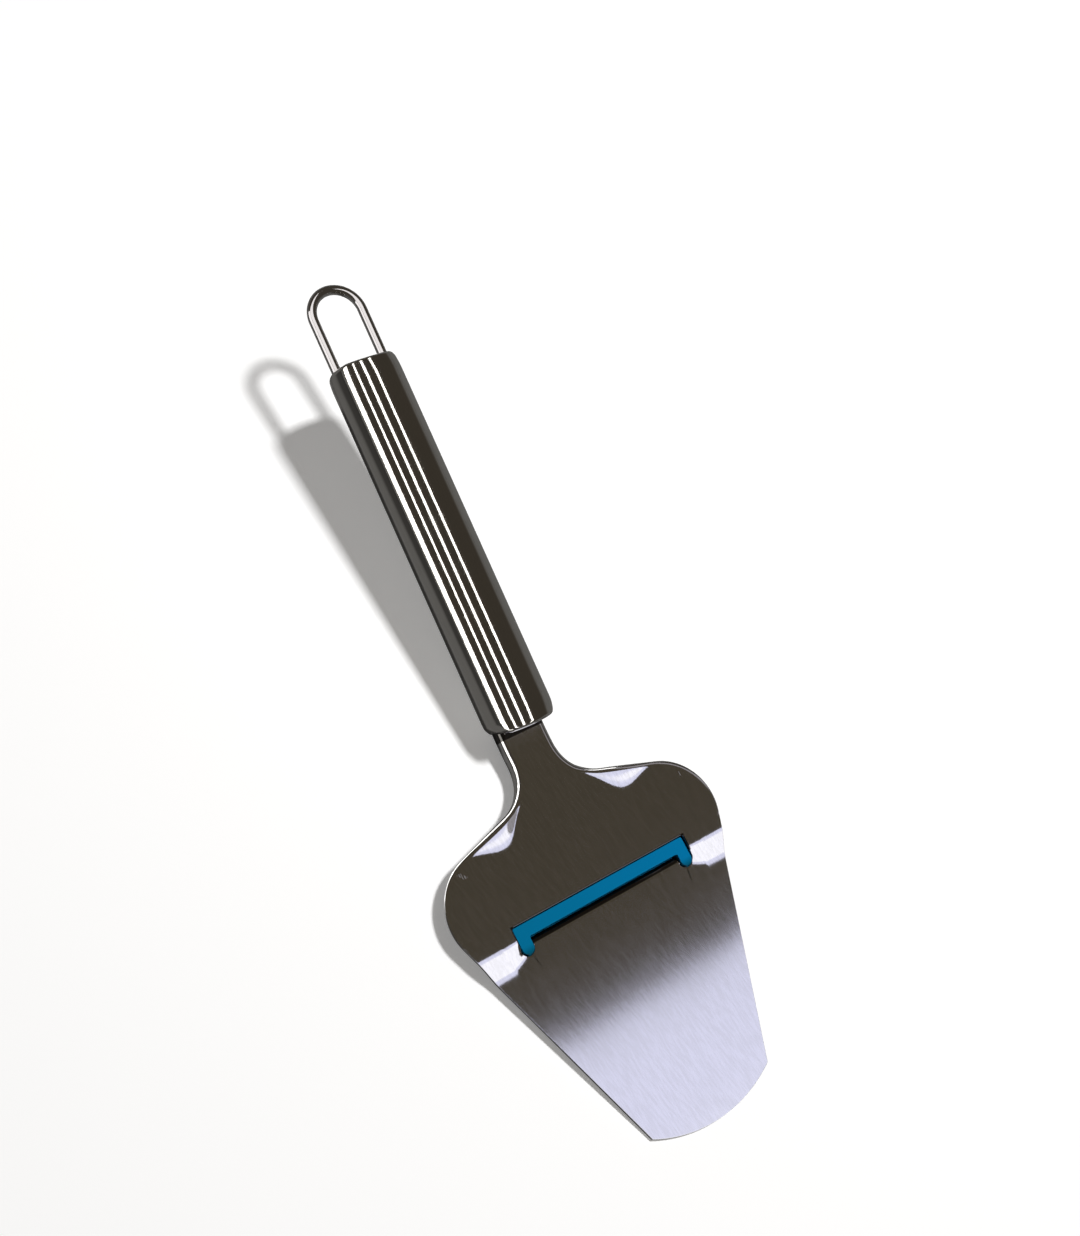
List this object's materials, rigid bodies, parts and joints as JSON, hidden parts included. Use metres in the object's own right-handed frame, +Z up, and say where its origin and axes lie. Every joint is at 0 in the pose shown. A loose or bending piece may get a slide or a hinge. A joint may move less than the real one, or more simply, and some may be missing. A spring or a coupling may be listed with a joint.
{
  "type": "cheese slicer",
  "caption": "Cheese slicer with a flat flared steel blade slotted across, a round steel handle, a wire hanging loop and a clip-in plastic edge guard.",
  "frame": {"origin": "centre of the bounding box's base, which is the surface that the blade's tip and the front of the handle rest on", "axes": "+Y towards the hanging loop, which stands clear of the resting surface, -Y towards the blade's tip, +Z up from the resting surface"},
  "size_m": [0.0826, 0.2309, 0.0363],
  "materials": {
    "handle_steel": "mirror polished stainless steel",
    "wire_steel": "bright drawn stainless wire",
    "blade_steel": "fine satin stainless sheet, brushed lengthwise",
    "guard_plastic": "glossy blue moulded plastic"
  },
  "bodies": {
    "slicer": {"handle_tube": "handle_steel", "rear_cap": "handle_steel", "front_cap": "handle_steel", "hanging_loop": "wire_steel", "blade": "blade_steel"},
    "guard": {"edge_guard": "guard_plastic"}
  },
  "joints": [
    {"name": "guard_pull", "type": "slide", "parent": "slicer", "child": "guard", "axis": [0, 0.0438, -0.999], "range_m": [0, 0.012]}
  ]
}
